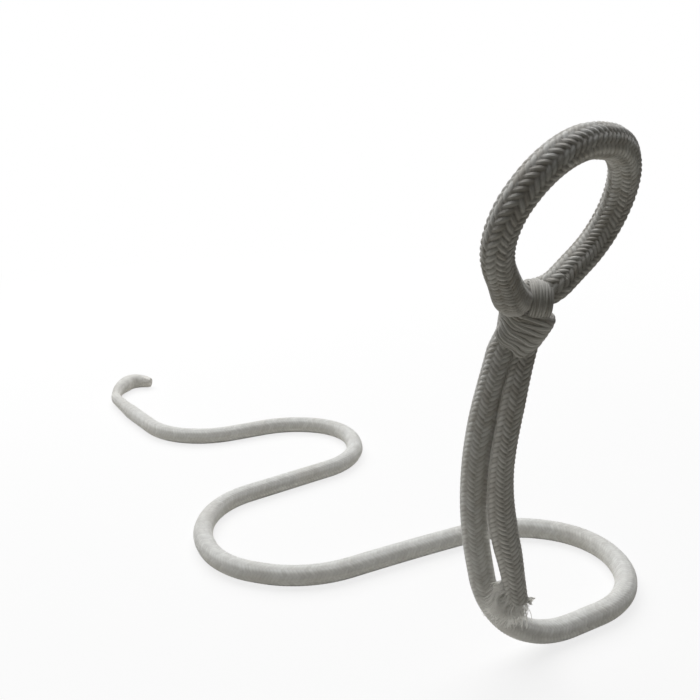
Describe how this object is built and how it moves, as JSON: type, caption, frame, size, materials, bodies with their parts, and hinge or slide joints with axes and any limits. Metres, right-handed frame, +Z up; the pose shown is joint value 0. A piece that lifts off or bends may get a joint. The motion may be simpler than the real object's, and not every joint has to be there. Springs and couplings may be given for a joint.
{
  "type": "bottle carrier",
  "caption": "Bottle carrier of pale braided rope over one bent steel rod: a winding flat base, an upright stem and a knotted, tilted loop that holds a bottle by its neck.",
  "frame": {"origin": "on the table under the middle of the base's central limb", "axes": "+X from the loose tail to the stem and loop, +Y across the base away from the loop's near limb, +Z up from the table"},
  "size_m": [0.3452, 0.1202, 0.1582],
  "materials": {
    "rope": "matte braided cotton",
    "slack_rope": "matte braided cotton",
    "yarn": "loose matte yarn",
    "sealed_end": "hardened, slightly glossy",
    "steel": "drawn rod"
  },
  "bodies": {
    "root": {"core_rod": "steel", "tail_seal": "sealed_end", "tail_curl": "slack_rope", "tail_neck": "slack_rope", "sleeve_tail_run": "rope", "sleeve_first_rise": "rope", "sleeve_first_crest_in": "rope", "sleeve_first_crest_top": "rope", "sleeve_first_crest_out": "rope", "sleeve_trough_in": "rope", "sleeve_trough_floor": "rope", "sleeve_trough_mid": "rope", "sleeve_trough_out": "rope", "sleeve_second_rise": "rope", "sleeve_last_crest_in": "rope", "sleeve_last_crest_top": "rope", "sleeve_last_crest_out": "rope", "sleeve_heel": "rope", "sleeve_stem": "rope", "sleeve_stem_top": "rope", "sleeve_loop_foot": "rope", "sleeve_far_limb": "rope", "sleeve_crown_far": "rope", "sleeve_crown_near": "rope", "sleeve_near_limb": "rope", "sleeve_near_foot": "rope", "knot_fold": "rope", "knot_collar": "rope", "knot_bridge": "rope", "knot_leg": "slack_rope", "free_end": "slack_rope", "frayed_tip": "yarn"}
  },
  "joints": []
}
